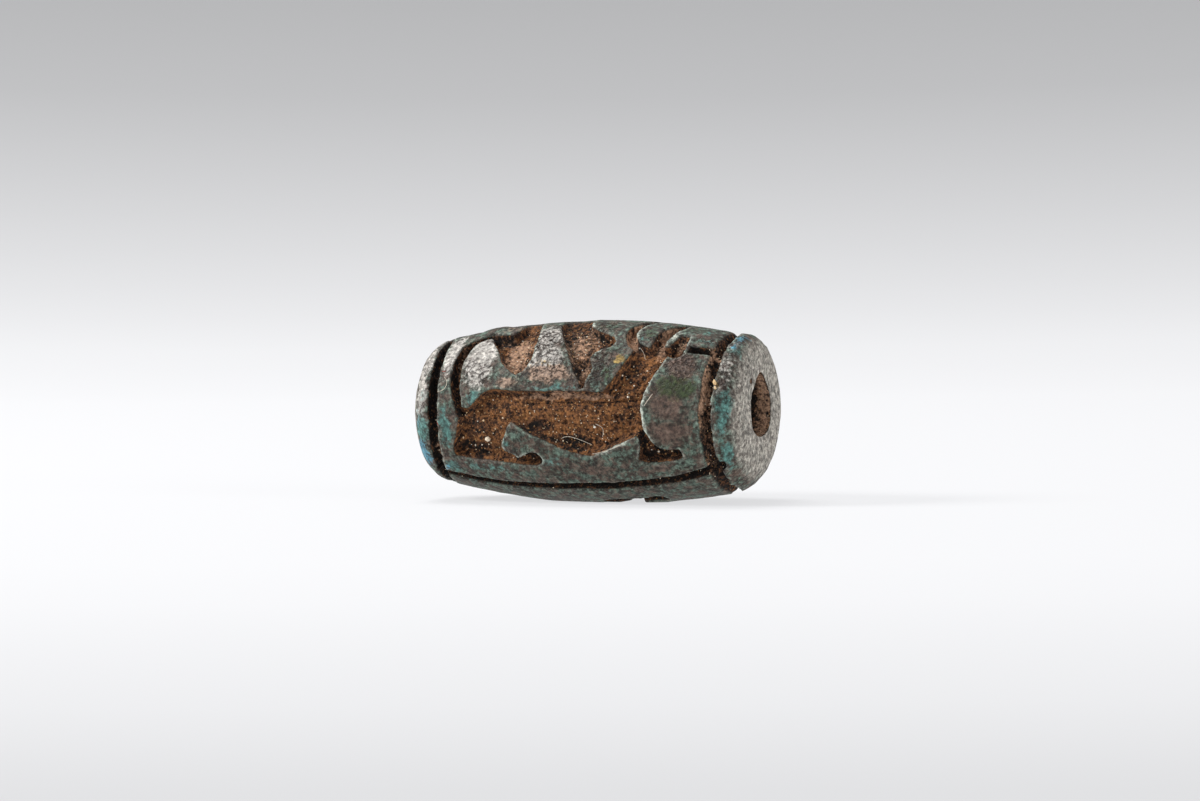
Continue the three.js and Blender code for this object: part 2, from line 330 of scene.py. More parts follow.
# What the carving does at each place on the skin: depth, soil, gap to the nearest edge
def carve(u, angle):
    onSkin = onBarrel(u, angle)
    wobble = seal["edgeWobble"]
    strayU = wobble * ripple(onSkin, 0.55, 1) + wobble * 0.45 * ripple(onSkin, 0.16, 2)
    strayS = wobble * ripple(onSkin, 0.55, 3) + wobble * 0.45 * ripple(onSkin, 0.16, 4)
    depth, soil, edge = np.zeros(len(u)), np.zeros(len(u)), np.full(len(u), 9.0)
    wall = seal["wallWidth"]

    def sink(where, gap, floor, tone, width):
        cut = floor * ease(-gap, -0.04, width - 0.04)
        deeper = cut > depth[where]
        soil[where] = np.where(deeper, tone, soil[where])
        depth[where] = np.maximum(cut, depth[where])
        edge[where] = np.minimum(edge[where], gap)

    for figure in sunk:
        shape, halfWidth = figure["shape"] if isinstance(figure["shape"], tuple) else (figure["shape"], None)
        turned = (angle - (pi if figure.get("back") else 0) + pi) % (2 * pi) - pi
        drawn = np.column_stack([u + strayU, turned * girth + strayS])
        margin = 0.7
        close = ((drawn > shape.min(0) - margin) & (drawn < shape.max(0) + margin)).all(1)
        where = np.nonzero(close)[0]
        places = drawn[where]
        gap = gapToOutline(places, shape) if halfWidth is None else gapToLine(places, shape, halfWidth)
        floor = np.full(len(where), figure["depth"])
        if shape is walker:
            floor += walkerFloor(*places.T)
        if "fade" in figure:
            floor *= 1 - ease(places[:, 1], *figure["fade"])
        sink(where, gap, floor, figure["soil"], seal["grooveWall"] if figure["soil"] < 0.2 else wall)
    for start, end, leftLean, rightLean, stray, tone in rings:
        x = u - stray * np.sin(angle) ** 2 * np.where(np.cos(angle) > 0, 1, 0.3) + strayU * 1.2
        left = seal["grooveDepth"] * ease(x, start - 0.05, start + leftLean + 0.08)
        right = ease(-x, -end - 0.03, -end + rightLean + 0.1)
        cut = left * right * (1 - 0.4 * ease(-angle * girth, 3, 5) * (x > 0))
        deeper = cut > depth
        soil[:] = np.where(deeper, tone, soil)
        depth[:] = np.maximum(depth, cut)
        edge[:] = np.minimum(edge, np.maximum(start - x, x - end))
    for pitU, pitS, reach, sinking in pits:
        depth += sinking * (1 - ease(np.hypot(u - pitU, angle * girth - pitS), reach * 0.4, reach))
    lumps = seal["soilLumps"] * (0.6 * ripple(onSkin, 0.32, 5) + 0.5 * ripple(onSkin, 0.13, 6))
    depth += lumps * ease(depth, 0.15, 0.4)
    return depth, soil, edge


# Profile of the bead, from the left mouth of the bore round the outside and back along the bore
def profile():
    def rim(end, length, steps=4):
        side = 1 if end > 0 else -1
        start = end - side * length
        lean = atan(side * 2 * seal["barrelFall"] * (start - seal["bellyAt"]))
        arcRadius = length / (1 - sin(lean))
        centreX = start - side * arcRadius * sin(lean)
        centreR = skinRadius(start) - arcRadius * cos(lean)
        turns = np.linspace(lean, pi / 2, steps + 1)
        return [(centreX + side * arcRadius * sin(t), centreR + arcRadius * cos(t)) for t in turns]

    left, right = rim(leftEnd, seal["leftRim"])[::-1], rim(rightEnd, seal["rightRim"])
    rows = round((right[0][0] - left[-1][0]) / seal["rowStep"])
    skin = [(x, skinRadius(x)) for x in np.linspace(left[-1][0], right[0][0], rows + 1)[1:-1]]
    bore = seal["boreRadius"]
    leftFace = [(leftEnd, r) for r in np.linspace(bore, left[0][1], 6)[:-1]]
    rightFace = [(rightEnd, r) for r in np.linspace(right[-1][1], bore, 6)[1:]]
    inside = [(middle + length / 2 * cos(t), bore) for t in np.linspace(0, pi, 30)[1:-1]]
    return leftFace + left + skin + right + rightFace + inside


# A mesh with its modifiers applied
def applied(mesh, kind, **settings):
    piece = bpy.data.objects.new("workpiece", mesh)
    bpy.context.scene.collection.objects.link(piece)
    modifier = piece.modifiers.new("change", kind)
    for name, value in settings.items():
        setattr(modifier, name, value)
    changed = bpy.data.meshes.new_from_object(piece.evaluated_get(bpy.context.evaluated_depsgraph_get()))
    bpy.data.objects.remove(piece)
    bpy.data.meshes.remove(mesh)
    return changed


def turnSeal():
    shape = bmesh.new()
    ring = [shape.verts.new((x, -r, 0)) for x, r in profile()]
    edges = [shape.edges.new((a, b)) for a, b in zip(ring, ring[1:] + ring[:1])]
    bmesh.ops.spin(
        shape, geom=ring + edges, cent=(0, 0, 0), axis=(1, 0, 0),
        angle=2 * pi, steps=seal["sides"], use_merge=True,
    )
    bmesh.ops.recalc_face_normals(shape, faces=shape.faces)
    mesh = bpy.data.meshes.new("seal")
    shape.to_mesh(mesh)
    shape.free()
    finer = seal["halvings"]
    return applied(mesh, "SUBSURF", subdivision_type="SIMPLE", levels=finer, render_levels=finer)


def readVectors(mesh, what):
    flat = np.empty(len(mesh.vertices) * 3, np.float32)
    mesh.vertices.foreach_get(what, flat)
    return flat.reshape(-1, 3).astype(float)


# The turned bead's vertices, moved to where wear, carving and drilling leave them
def sculptSeal(mesh):
    places, normals = readVectors(mesh, "co"), readVectors(mesh, "normal")
    x, y, z = places.T
    radius, angle = np.hypot(y, z), np.arctan2(z, -y)
    facet = 2 * pi / seal["sides"]
    radius *= np.cos(angle % facet - facet / 2) / cos(facet / 2)
    bore = seal["boreRadius"]
    inBore = radius < bore + 0.02
    onFace = ((x > rightEnd - 1e-3) | (x < leftEnd + 1e-3)) & ~inBore
    onSkin = ~inBore & ~onFace
    depth = np.zeros(len(x))
    depth[onSkin] = carve(x[onSkin], angle[onSkin])[0]
    print("carving worked out")

    dents = ripple(places, 1.7, 11) + 0.45 * ripple(places, 0.5, 12) + 0.25 * ripple(places, 0.17, 13)
    dents = seal["unevenness"] * dents
    toEnd = length / 2 - np.abs(x - middle)
    rimness = (1 - ease(toEnd, 0.5, 1)) * ~inBore
    chips = np.clip(ripple(places, 0.75, 14) - 0.35, 0, 1) * 0.06 * rimness
    radius = radius - depth
    places = np.column_stack([x, -radius * np.cos(angle), radius * np.sin(angle)])
    places -= normals * (dents + chips)[:, None] * np.where(inBore, 2, 1)[:, None]

    # The bore rises to the right and each mouth is worn to a point above and below
    share = np.where(inBore, 1, np.where(onFace, 1 - ease(radius, bore, bore + 1), 0))
    places[:, 2] += share * seal["boreRise"] * (x - leftEnd) / length
    places[:, 2] += (1 - share) * seal["endLift"] * ease(x, rightEnd - 1.5, rightEnd - 0.3)
    nearMouth = share * (1 - ease(toEnd, 0, 1.6))
    above, beneath = np.clip(np.sin(angle), 0, 1) ** 9, np.clip(-np.sin(angle), 0, 1) ** 9
    places[:, 2] += nearMouth * seal["mouthWear"] * (above - 0.3 * beneath)
    corners = np.sin(2 * angle) ** 2 * np.where(angle < 0, seal["mouthCorners"], -0.6 * seal["mouthCorners"])
    places[:, 1] -= nearMouth * corners * np.cos(angle)
    places[:, 2] += nearMouth * corners * np.sin(angle)
    places[:, 2] = np.maximum(places[:, 2], -mark.z / millimetre)
    mesh.vertices.foreach_set("co", places.astype(np.float32).ravel())
    mesh.update()


# Stains and wear, with painted shade and painted highlights among them: u, s, reach along u, reach along s,
# strength
stains = dict(
    worn=[                  # chalky, where the glaze has gone, and painted glints on the right rim
        (-5.5, 3.5, 1.1, 2.2, 1), (-7.4, 4.4, 0.5, 2.4, 0.9), (-8.9, 4, 0.5, 2.4, 0.8),
        (-1.8, 4.9, 1.1, 1.5, 0.8), (-1.5, 3.2, 1.2, 1.3, 0.85), (-3.8, 1.9, 0.8, 0.4, 0.4),
        (8.6, 4.4, 0.5, 1.4, 0.4), (-6.4, 7.4, 2.4, 0.8, 0.25), (-8.9, 1, 0.5, 2.2, 0.75),
        (8.55, 3.4, 0.4, 2, 0.55), (8.4, 1.9, 0.3, 0.9, 0.75), (8.6, 5.2, 0.4, 0.8, 0.8),
        (-8.5, 6.4, 0.8, 1.4, 0.6),
    ],
    buff=[                  # the same, browner
        (-1.2, 2.4, 1.7, 0.6, 0.95), (-3.5, 1.9, 0.9, 0.4, 0.75), (0, 2.3, 0.7, 0.5, 0.6),
        (-5.9, 3.8, 0.5, 0.5, 0.3), (-3.8, 6.6, 1.6, 0.7, 0.5), (1.2, 6.8, 1.2, 0.5, 0.25),
    ],
    turquoise=[             # thick glaze
        (-5.6, 0.9, 0.55, 0.6, 0.8), (-7.35, -0.9, 0.4, 1.7, 0.8), (-0.7, 1.5, 1.9, 0.2, 0.75),
        (-3.7, -1.5, 0.25, 0.5, 0.7), (1.9, 1.9, 0.5, 0.35, 0.4), (-7.2, -3.7, 0.6, 0.6, 0.7),
        (8.6, 0.4, 0.45, 2, 0.8), (-5, -3.4, 1.9, 0.5, 0.45), (-1.4, -2.6, 1.4, 0.4, 0.5),
        (8.6, -2.8, 0.4, 1.5, 0.7), (7.2, 5.3, 0.8, 0.25, 0.45), (-6.5, -5.1, 0.9, 0.3, 0.5),
        (3.6, 5, 0.2, 0.5, 0.6), (4, -3.7, 2.5, 0.25, 0.3), (-8.9, -1.2, 0.5, 1.6, 0.8),
        (-8.8, 1, 0.5, 1, 0.4), (8.7, 4.9, 0.5, 1, 0.7), (6.9, 6.6, 0.4, 0.6, 0.5),
    ],
    cyan=[                  # the bluest glaze, with a painted glint on the right rim
        (-9, -3.1, 0.5, 1.5, 0.95), (-9.2, -0.6, 0.3, 1.2, 0.4), (8.55, 5.2, 0.25, 0.4, 1),
        (-7.7, -4.1, 0.2, 0.5, 0.7), (8.7, 6.4, 0.4, 1, 0.6),
    ],
    green=[                 # mossy glaze
        (2.25, 2.3, 0.4, 0.7, 0.6), (6, 1.7, 1.4, 0.9, 0.9), (3.8, 5.6, 0.5, 0.9, 0.5),
        (1.2, 6.1, 1, 0.6, 0.4), (-4.6, 4.4, 0.2, 1, 0.9), (-0.75, 4.9, 0.15, 1.4, 0.8),
        (8.25, 2.6, 0.25, 1, 0.6), (5.5, 6.6, 1.6, 0.6, 0.5),
    ],
    ochre=[                 # yellow spots
        (2.75, 3.3, 0.3, 0.35, 0.9), (8.2, 2, 0.13, 0.28, 1), (-1.4, 3, 1, 0.3, 0.35),
        (-5.6, 3.2, 0.3, 0.6, 0.2),
    ],
    mauve=[                 # dull brown glaze
        (-3, -1.7, 0.4, 0.4, 0.7), (5.8, -1, 1.2, 0.8, 0.9), (1.4, -3.1, 1.7, 0.5, 0.7),
        (4.8, -3.1, 1.2, 0.4, 0.5), (-1.5, -3.4, 0.9, 0.4, 0.5), (6.9, 0.4, 0.4, 0.9, 0.5),
        (6.2, 3, 1, 1.1, 1), (8.4, -0.9, 0.3, 0.6, 0.7), (3.5, 2.2, 0.4, 0.4, 0.4), (-2, -5.4, 2, 0.4, 0.3),
        (2.3, 3.4, 0.5, 0.8, 0.5), (5.6, 0.6, 1.2, 1, 0.8), (1.6, -5.5, 1.6, 0.4, 0.5),
    ],
    grime=[                 # soil made darker, partly as painted shade along walls and in creases
        (-5.3, -0.8, 1.2, 1, 0.4), (-4, 0.4, 1.2, 0.7, 0.2), (-2, -0.7, 1.1, 0.45, 0.8),
        (0.4, -1.65, 0.9, 0.28, 1), (-5.8, -2.3, 1.2, 0.5, 0.9), (2.4, -1.75, 1, 0.25, 0.5),
        (5, -2.3, 1.4, 0.5, 1), (4.1, -1.5, 0.4, 0.6, 1), (-2.2, -2.5, 0.8, 0.4, 1),
        (-0.4, 5.2, 1, 1.6, 0.3), (-4.3, 5.4, 1.4, 0.3, 0.8), (-3.4, 3.6, 0.3, 0.3, 0.4),
        (0.4, 2.4, 0.4, 0.8, 0.4), (3.6, 2.4, 0.6, 1, 0.55), (2.8, 0.4, 1, 0.7, 0.2),
    ],
    pocked=[                # skin full of pits
        (1.7, 2.8, 1, 1.8, 1), (1.1, 6, 1, 0.8, 0.8), (3.8, 5.6, 0.5, 1, 1), (-3.2, -1.6, 0.7, 0.7, 0.6),
        (7, 5.4, 1, 0.4, 0.6), (-5.5, 2.6, 1, 1.3, 0.7), (-1.7, 4.4, 1.1, 1.8, 1),
        (-1.2, 2.6, 1.6, 0.9, 0.9), (6.1, 3.2, 1, 1.4, 0.9), (2, 3.2, 0.8, 1, 0.5), (8.6, 3, 0.6, 3, 0.6),
        (-3.6, 1.9, 0.8, 0.4, 0.6), (3, 6.5, 4, 0.8, 0.4), (-6.4, 7.2, 2.4, 1, 0.6),
    ],
    dust=[                  # pale dust on the soil
        (-3.5, 4.2, 0.8, 1.8, 1), (0.1, 4.7, 1, 1.8, 0.6), (2.95, 5.5, 0.4, 1.8, 1.3),
        (4.7, 5.5, 0.4, 1.7, 1.1), (5.7, 5, 0.3, 0.6, 0.7), (7.45, 2.5, 0.2, 4, 1),
        (-6.9, 4, 0.15, 1.8, 0.5), (0, 1.1, 3.4, 0.2, 0.8), (0.8, 2.3, 0.3, 1, 0.9),
        (7.7, 4.5, 0.4, 0.3, 0.7), (-5.4, 5.7, 1.5, 0.3, 0.4), (7.6, -3.4, 0.3, 1.5, 0.3),
        (7.8, -0.5, 0.25, 3, 0.35), (-8.1, -3.2, 0.15, 1.2, 0.7),
    ],
    bright=[                # pale worn edges, with a painted highlight where they catch the light
        (4.5, 0.6, 0.4, 2.6, 1), (-2.4, 4.2, 0.3, 1.2, 0.7), (2.6, -1.8, 1.5, 0.6, 0.9),
        (0.6, 3.8, 0.5, 0.8, 0.9), (3.3, 5.6, 0.5, 0.9, 0.8), (6.1, 5, 0.3, 0.9, 0.6),
        (0.3, 6.2, 0.6, 0.5, 0.8), (-2.4, -2.4, 1.1, 0.3, 0.7), (-3.9, -1.7, 0.25, 0.6, 0.6),
        (1.4, 3.7, 0.6, 0.4, 0.5), (5.2, 3.7, 0.4, 0.5, 0.6), (5.2, 5.6, 0.4, 0.8, 0.6),
    ],
)
# Painted shade in creases of the front: their points and half widths
shadedCreases = [
    ([(-2.5, 0.68), (0, 0.77), (2, 0.8), (3.9, 0.98)], 0.05),
    ([(-1.2, 0.5), (0.6, 0.6), (1.9, 0.6)], 0.03),
    ([(0.8, -0.35), (2.2, -0.3), (3.9, -0.1)], 0.04),
    ([(-0.4, -1.35), (0.4, -1.62), (1.2, -1.85)], 0.09),
    ([(-2.6, -0.8), (-1.5, -1.25), (-0.4, -1.7), (0.6, -2.05)], 0.1),
    ([(-8.75, 1), (-8.6, 0.9), (-8.4, 0.8)], 0.03),
    ([(-2.8, 1.22), (-0.5, 1.25), (2, 1.25)], 0.06),
]


boreSoil = dict(
    reach=0.6,              # what lies less than this beyond the bore's radius counts as its wall
    cover=0.6,              # depth of carving that its wall counts as
    tone=0.55,              # soil at the mouth
    shadeInside=0.8,             # and how much darker it is deeper inside: painted shade
    dust=0.85,
)


# How much of one stain lies at each place
def stain(name, u, s, onSkin):
    u = u + 0.18 * ripple(onSkin, 0.6, 31) + 0.08 * ripple(onSkin, 0.2, 32)
    s = s + 0.18 * ripple(onSkin, 0.6, 33) + 0.08 * ripple(onSkin, 0.2, 34)
    total = np.zeros(len(u))
    for centreU, centreS, reachU, reachS, strength in stains[name]:
        away = np.hypot((u - centreU) / reachU, (s - centreS) / reachS)
        total = np.maximum(total, strength * (1 - ease(away, 0.35, 1.35)))
    return total


def writeAttribute(mesh, name, values):
    attribute = mesh.attributes.new(name, "FLOAT", "POINT")
    attribute.data.foreach_set("value", values.astype(np.float32))


def writeFinish(mesh):
    x, y, z = readVectors(mesh, "co").T
    angle = np.arctan2(z, -y)
    s = angle * girth
    depth, soil, edge = carve(x, angle)
    onSkin = onBarrel(x, angle)
    toEnd = length / 2 - np.abs(x - middle)
    onEnd = 1 - ease(toEnd, 0.05, 0.55)
    toBore = np.hypot(y, z - seal["boreRise"] * (x - leftEnd) / length)
    inBore = (toBore < seal["boreRadius"] + boreSoil["reach"]) * ease(toEnd, 0.02, 0.07)
    onEnd = onEnd * (1 - inBore)
    outside = 1 - inBore
    step = 0.03
    slope = np.clip((carve(x + step, angle)[2] - edge) / step, 0, 1)              # 1 right of a cut
    below = np.clip((carve(x, angle + step / girth)[2] - edge) / step, 0, 1)      # 1 under an edge
    # Pale lips of the cuts: wear all round, and a painted highlight on those that face the left lamp
    lip = np.exp(-((edge - 0.03) / 0.055) ** 2) * outside
    writeAttribute(mesh, "cut", np.maximum(depth * outside, inBore * boreSoil["cover"]))
    # Painted shade in the bore: its soil gets darker deeper inside
    boreShadedTone = boreSoil["tone"] - boreSoil["shadeInside"] * ease(toEnd, 0.35, 1.25)
    writeAttribute(mesh, "soil", np.where(inBore > 0.5, boreShadedTone, soil))
    writeAttribute(mesh, "lip", lip * (0.12 + 0.3 * slope + stain("bright", x, s, onSkin)))
    writeAttribute(mesh, "face", onEnd)
    # Painted shade at the foot of the walls, deeper under an edge, and along the creases
    foot = (0.35 + 0.5 * below) * np.exp(-((edge + 0.15) / 0.1) ** 2) * outside
    along = np.column_stack([x, s])
    for points, width in shadedCreases:
        line = curveThrough(points)
        foot = np.maximum(foot, np.exp(-(gapToLine(along, line, np.zeros(len(line))) / width) ** 2))
    writeAttribute(mesh, "foot", foot)
    for name in stains:
        amount = stain(name, x, s, onSkin) * outside
        # The pale dust in the bore fades inwards, part of the painted shade there
        if name == "dust":
            amount = np.maximum(amount, inBore * boreSoil["dust"] * (1 - ease(toEnd, 0.3, 1.15)))
        writeAttribute(mesh, name, amount)


# A shader socket. Its operators add Math nodes.
class Wire:
    def __init__(self, tree, socket=None):
        self.tree, self.socket = tree, socket

    def add(self, kind, settings={}, inputs={}, output=0):
        node = self.tree.nodes.new(kind)
        for name, value in settings.items():
            if name == "stops":
                self.fillRamp(node.color_ramp, value)
            else:
                setattr(node, name, value)
        for name, value in inputs.items():
            if isinstance(value, Wire):
                self.tree.links.new(value.socket, node.inputs[name])
            else:
                node.inputs[name].default_value = value
        return Wire(self.tree, node.outputs[output])

    def fillRamp(self, ramp, stops):
        while len(ramp.elements) < len(stops):
            ramp.elements.new(0.5)
        for element, (position, colour) in zip(ramp.elements, stops):
            element.position, element.color = position, colour

    def math(self, operation, first, second=0.5):
        return self.add("ShaderNodeMath", dict(operation=operation), {0: first, 1: second})

    def __add__(self, other):
        return self.math("ADD", self, other)

    def __radd__(self, other):
        return self.math("ADD", other, self)

    def __sub__(self, other):
        return self.math("SUBTRACT", self, other)

    def __rsub__(self, other):
        return self.math("SUBTRACT", other, self)

    def __mul__(self, other):
        return self.math("MULTIPLY", self, other)

    def __rmul__(self, other):
        return self.math("MULTIPLY", other, self)

    def ease(self, start, end):
        settings = dict(interpolation_type="SMOOTHSTEP")
        return self.add("ShaderNodeMapRange", settings, {"Value": self, "From Min": start, "From Max": end})

    def held(self, lowest=0, highest=1):
        return self.math("MAXIMUM", self.math("MINIMUM", self, highest), lowest)

    def attribute(self, name):
        return self.add("ShaderNodeAttribute", dict(attribute_name=name), output="Fac")

    # Object coordinates, in millimetres
    def place(self):
        inMetres = self.add("ShaderNodeTexCoord", output="Object")
        inputs = {0: inMetres, "Scale": 1 / millimetre}
        return self.add("ShaderNodeVectorMath", dict(operation="SCALE"), inputs)

    def noise(self, where, size, detail, rough):
        inputs = {"Vector": where, "Scale": 1 / size, "Detail": detail, "Roughness": rough}
        return self.add("ShaderNodeTexNoise", {}, inputs, "Fac")

    def cells(self, where, size, output="Distance"):
        return self.add("ShaderNodeTexVoronoi", {}, {"Vector": where, "Scale": 1 / size}, output)

    # A value that differs from cell to cell
    def lot(self, where, size, channel):
        return self.add("ShaderNodeSeparateColor", {}, {0: self.cells(where, size, "Color")}, channel)

    def ramp(self, amount, stops):
        return self.add("ShaderNodeValToRGB", dict(stops=stops), {"Fac": amount})

    # A colour made darker and lighter by a value, from one brightness at its low end to another
    def shade(self, colour, value, start, end, dark, bright):
        stops = [(start, (dark, dark, dark, 1)), (end, (bright, bright, bright, 1))]
        return self.blend(1.0, colour, self.ramp(value, stops), "MULTIPLY")

    def blend(self, amount, first, second, kind="MIX"):
        settings = dict(data_type="RGBA", blend_type=kind)
        return self.add("ShaderNodeMix", settings, {0: amount, 6: first, 7: second}, 2)


# A colour given as it looks on a screen, 0 to 255
def paint(red, green, blue):
    channels = [value / 255 for value in (red, green, blue)]
    return (*[c / 12.92 if c < 0.04 else ((c + 0.055) / 1.055) ** 2.4 for c in channels], 1)


def newMaterial(name, roughness):
    material = bpy.data.materials.new(name)
    material.use_nodes = True
    shader = material.node_tree.nodes["Principled BSDF"]
    shader.inputs["Roughness"].default_value = roughness
    return material, shader, Wire(material.node_tree)


def connect(wire, socket, value):
    wire.tree.links.new(value.socket, socket)


finish = dict(
    teal=paint(86, 104, 92),
    olive=paint(44, 36, 24),
    mauve=paint(92, 72, 62),
    # chalky wear, also painted glints on the right rim
    worn=paint(184, 178, 171),
    buff=paint(152, 125, 106),
    turquoise=paint(76, 120, 114),
    cyan=paint(88, 146, 166),
    green=paint(46, 58, 26),
    ochre=paint(160, 132, 70),
    # pale worn lips with a painted highlight
    lip=paint(178, 184, 172),
    face=paint(166, 160, 150),
    pit=paint(50, 36, 26),
    dust=paint(178, 142, 116),
    orangeSoil=paint(146, 98, 58),
    brownSoil=paint(88, 57, 37),
    blackSoil=paint(14, 7, 3),
    crumb=paint(186, 136, 84),
    # painted glints on pale grains
    glintingGrain=paint(244, 226, 196),
)


# Skin: teal over olive and mauve, with its stains and pits, pale worn lips with a painted highlight, and
# painted glints on the right rim
def skinColour(wire, place, shifted, mottle, speckle, grain):
    tinge = wire.noise(shifted, 0.5, 4, 0.65)
    face, pocked = wire.attribute("face"), wire.attribute("pocked")
    colour = wire.blend((0.5 * mottle + 0.5 * speckle).ease(0.42, 0.58), finish["olive"], finish["teal"])
    colour = wire.blend(tinge.ease(0.46, 0.6) * 0.75, colour, finish["mauve"])
    colour = wire.blend((face * (0.8 + (speckle - 0.5) * 1.8)).held(), colour, finish["face"])
    for name in ("mauve", "green", "worn", "buff", "turquoise", "cyan", "ochre"):
        here = wire.attribute(name)
        amount = (here + (speckle - 0.5) * 1.5 + (mottle - 0.5) * 0.9).ease(0.3, 0.85) * here.ease(0, 0.3)
        colour = wire.blend(amount * 0.9, colour, finish[name])
    lip = wire.attribute("lip") * (speckle.ease(0.3, 0.6) + 0.2)
    colour = wire.blend(lip.held(), colour, finish["lip"])
    worms = wire.noise(shifted, 0.4, 2, 0.5) - 0.5
    worms = 1 - worms.math("ABSOLUTE", worms).ease(0.01, 0.07)
    dots = 1 - (wire.cells(place, 0.25) + (grain - 0.5) * 0.8).ease(0.16, 0.42)
    pitted = worms.math("MAXIMUM", worms * 0.8, dots) * (0.2 + 0.85 * pocked + 0.12 * face)
    pitted = (pitted * tinge.ease(0.34, 0.5)).held()
    colour = wire.blend(pitted, colour, finish["pit"])
    colour = wire.shade(colour, grain, 0.32, 0.68, 0.4, 1.6)
    return wire.shade(colour, speckle, 0.35, 0.65, 0.62, 1.34), pitted


# Soil in the carving, with painted shade along the foot of its walls and in creases, painted glints on pale
# grains, and the height of its crumbs
def soilColour(wire, place, shifted, mottle, speckle, grain):
    soil, dust = wire.attribute("soil"), wire.attribute("dust")
    # Darker soil, with painted shade at the foot of the walls and in creases
    grime = (wire.attribute("grime") + wire.attribute("foot") * (0.4 + speckle.ease(0.4, 0.6) * 0.6)).held()
    crushed = wire.noise(shifted, 0.27, 4, 0.75)
    tone = soil * 0.74 + (mottle - 0.5) * 0.9 + (crushed - 0.5) * 4.2 - grime * 0.75
    tones = [(0.0, finish["blackSoil"]), (0.4, finish["brownSoil"]), (0.95, finish["orangeSoil"])]
    earth = wire.ramp(tone, tones)
    dusted = (dust * 1.1 + (crushed - 0.5) * 3).ease(0.1, 1.1)
    earth = wire.blend(dusted * dust.ease(0, 0.3), earth, finish["dust"])
    crumb = 1 - (wire.cells(place, 0.18) + (grain - 0.5) * 0.4).ease(0.2, 0.4)
    crumb = crumb * wire.lot(place, 0.18, "Red").ease(0.74, 0.78)
    earth = wire.blend(crumb * (0.25 + soil * 0.6), earth, finish["crumb"])
    holes = (1 - wire.cells(shifted, 0.2).ease(0.15, 0.45)) * speckle.ease(0.42, 0.56)
    earth = wire.blend(holes * 0.8, earth, finish["blackSoil"])
    # Painted glints on pale grains of the soil
    glintingGrain = 1 - wire.cells(shifted, 0.24).ease(0.12, 0.2)
    glintingGrain = glintingGrain * wire.lot(shifted, 0.24, "Green").ease(0.84, 0.86)
    earth = wire.blend(glintingGrain, earth, finish["glintingGrain"])
    height = 0.06 * crumb + 0.2 * crushed - 0.1 * holes + 0.03 * glintingGrain
    return wire.shade(earth, grain, 0.32, 0.68, 0.35, 1.7), height


def glazedStone():
    material, shader, wire = newMaterial("glazedStone", 0.5)
    shader.inputs["Specular IOR Level"].default_value = 0.35
    place = wire.place()
    shifted = wire.add("ShaderNodeVectorMath", dict(operation="ADD"), {0: place, 1: (40, 17, 5)})
    mottle = wire.noise(place, 0.7, 4, 0.6)
    speckle = wire.noise(place, 0.26, 3, 0.65)
    grain = wire.noise(place, 0.17, 3, 0.7)
    skin, pitted = skinColour(wire, place, shifted, mottle, speckle, grain)
    earth, height = soilColour(wire, place, shifted, mottle, speckle, grain)
    covered = (wire.attribute("cut") + (speckle - 0.5) * 0.12 + (grain - 0.5) * 0.08).ease(0.05, 0.15)
    connect(wire, shader.inputs["Base Color"], wire.blend(covered, skin, earth))
    connect(wire, shader.inputs["Roughness"], (0.4 + 0.3 * mottle + 0.35 * covered + 0.3 * pitted).held())
    relief = (0.06 + 0.1 * wire.attribute("pocked")) * speckle + 0.06 * grain - 0.12 * pitted
    relief += covered * height
    bump = wire.add("ShaderNodeBump", {}, {"Height": relief * millimetre, "Distance": 1.0, "Strength": 1.0})
    connect(wire, shader.inputs["Normal"], bump)
    return material


def finishPiece(piece, material):
    piece.data.materials.clear()
    piece.data.materials.append(material)
    piece.data.transform(Matrix.Translation(mark) @ Matrix.Scale(millimetre, 4))
    piece.data.shade_smooth()
    bpy.context.scene.collection.objects.link(piece)
    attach(piece, "root")


# Grains of sand on the soil: u, s, half width and tone from 0, amber, to 1, white. More are strewn
# wherever the carving is deep.
sand = dict(
    placed=[
        (-4.85, -1.6, 0.15, 0.75), (-6.4, -1.65, 0.06, 0.6), (-5.75, -2.2, 0.06, 0.8),
        (-5.35, -2.15, 0.05, 0.9),
        (-3.85, -0.2, 0.05, 0.7), (-5.05, -0.4, 0.06, 0.6), (-4.4, -0.95, 0.05, 0.6), (3.35, 1.15, 0.06, 1),
        (2.3, 0.95, 0.05, 0.7), (4.2, 2.9, 0.05, 0.8), (1.45, -0.7, 0.07, 1), (7.85, 0.85, 0.07, 1),
        (8.15, 2.1, 0.13, 0.45), (8.2, 1.8, 0.1, 0.55), (8.08, 2.3, 0.08, 0.4), (3.6, 1.9, 0.05, 0.9),
        (-2.3, 0.1, 0.045, 0.6), (0.2, -1, 0.045, 0.6), (2.9, 2.5, 0.05, 0.8), (-6.1, 0.1, 0.05, 0.5),
        (4.9, -2.3, 0.06, 0.8), (5.6, -2.35, 0.05, 0.6), (-3.1, 4.9, 0.05, 0.7), (0.4, 4.4, 0.05, 0.7),
    ],
    strewn=900,
    deep=0.35,              # how deep the carving is where they lie
    smallest=0.016,
    largest=0.042,
    amber=paint(150, 98, 52),
    pale=paint(226, 192, 142),
    white=paint(252, 248, 236),
    seed=41,
)
